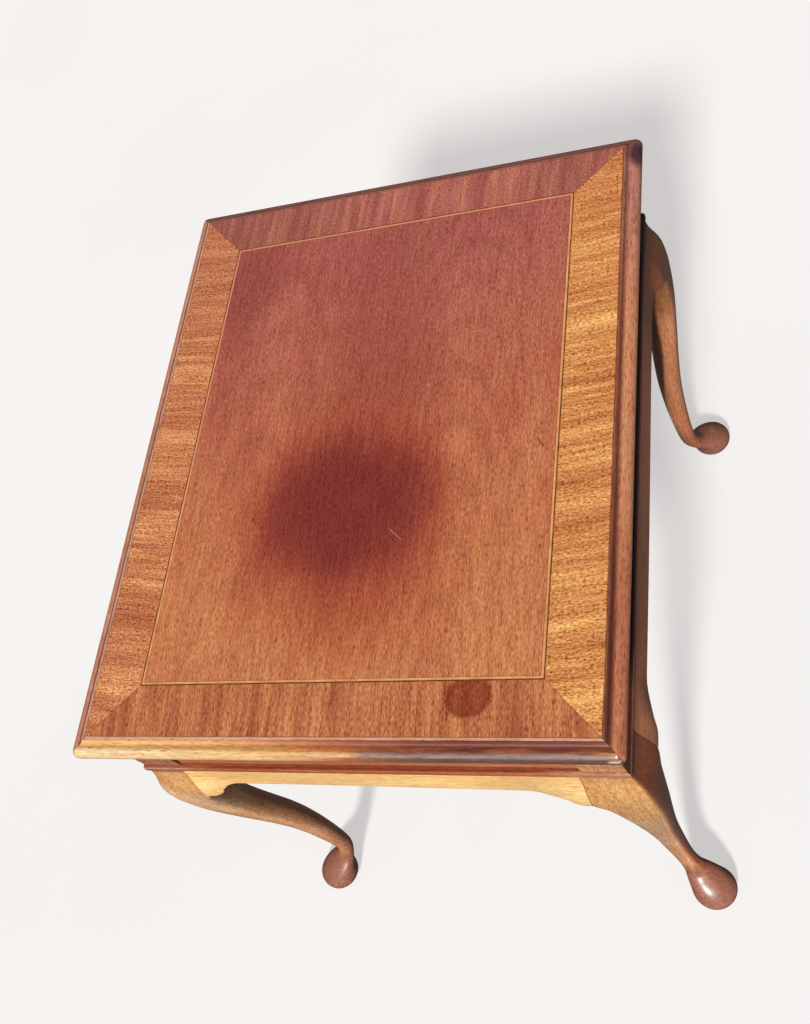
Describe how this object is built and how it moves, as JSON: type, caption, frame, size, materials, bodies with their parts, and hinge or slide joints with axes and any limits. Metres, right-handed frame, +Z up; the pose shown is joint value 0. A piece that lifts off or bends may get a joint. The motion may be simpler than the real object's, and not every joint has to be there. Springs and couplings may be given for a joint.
{
  "type": "occasional table with drawer",
  "caption": "Rectangular occasional table with a cross-banded flat top, moulded edge, frieze drawer, bracketed aprons and cabriole legs on pad feet.",
  "frame": {"origin": "on the floor under the middle of the top", "axes": "+Z up; -Y is the short side with the drawer front, which is the side that faces the user; +X is the user's right; the long sides are +X and -X"},
  "size_m": [0.558, 0.6894, 0.62],
  "materials": {
    "core_wood": "unpolished mahogany, seen only from below",
    "field_veneer": "polished, worn, grain along the length",
    "crossband_veneer": "polished, worn, grain across the band",
    "ebonised_line": "polished dark line",
    "boxwood_line": "polished pale line",
    "moulding_mahogany": "polished, worn along the nose",
    "leg_mahogany": "polished",
    "apron_mahogany": "polished",
    "frieze_mahogany": "polished",
    "drawer_front_mahogany": "polished",
    "secondary_wood": "bare wood, aged",
    "screw_steel": "old steel, dull"
  },
  "bodies": {
    "table": {"top_core_panel": "core_wood", "field_veneer": "field_veneer", "crossband_front": "crossband_veneer", "crossband_rear": "crossband_veneer", "crossband_left": "crossband_veneer", "crossband_right": "crossband_veneer", "stringing_ebonised": "ebonised_line", "stringing_boxwood": "boxwood_line", "edge_moulding_front": "moulding_mahogany", "edge_moulding_rear": "moulding_mahogany", "edge_moulding_left": "moulding_mahogany", "edge_moulding_right": "moulding_mahogany", "leg_front_left": "leg_mahogany", "leg_front_right": "leg_mahogany", "leg_rear_left": "leg_mahogany", "leg_rear_right": "leg_mahogany", "apron_front": "apron_mahogany", "apron_rear": "apron_mahogany", "apron_left": "apron_mahogany", "apron_right": "apron_mahogany", "frieze_panel_left": "frieze_mahogany", "frieze_panel_right": "frieze_mahogany", "frieze_panel_back": "frieze_mahogany", "top_rail": "frieze_mahogany", "drawer_rail": "frieze_mahogany", "base_moulding_front": "moulding_mahogany", "base_moulding_rear": "moulding_mahogany", "base_moulding_left": "moulding_mahogany", "base_moulding_right": "moulding_mahogany", "drawer_runner_left": "secondary_wood", "drawer_runner_right": "secondary_wood", "drawer_guide_left": "secondary_wood", "drawer_guide_right": "secondary_wood", "drawer_kicker_left": "secondary_wood", "drawer_kicker_right": "secondary_wood", "drawer_stops": "secondary_wood", "glue_blocks": "secondary_wood", "top_fixing_screws": "screw_steel"},
    "drawer": {"drawer_front": "drawer_front_mahogany", "drawer_side_left": "secondary_wood", "drawer_side_right": "secondary_wood", "drawer_back": "secondary_wood", "drawer_bottom": "secondary_wood", "drawer_bottom_screws": "screw_steel"}
  },
  "joints": [
    {"name": "drawer_slide", "type": "slide", "parent": "table", "child": "drawer", "axis": [0, -1, 0], "range_m": [0, 0.32]}
  ]
}
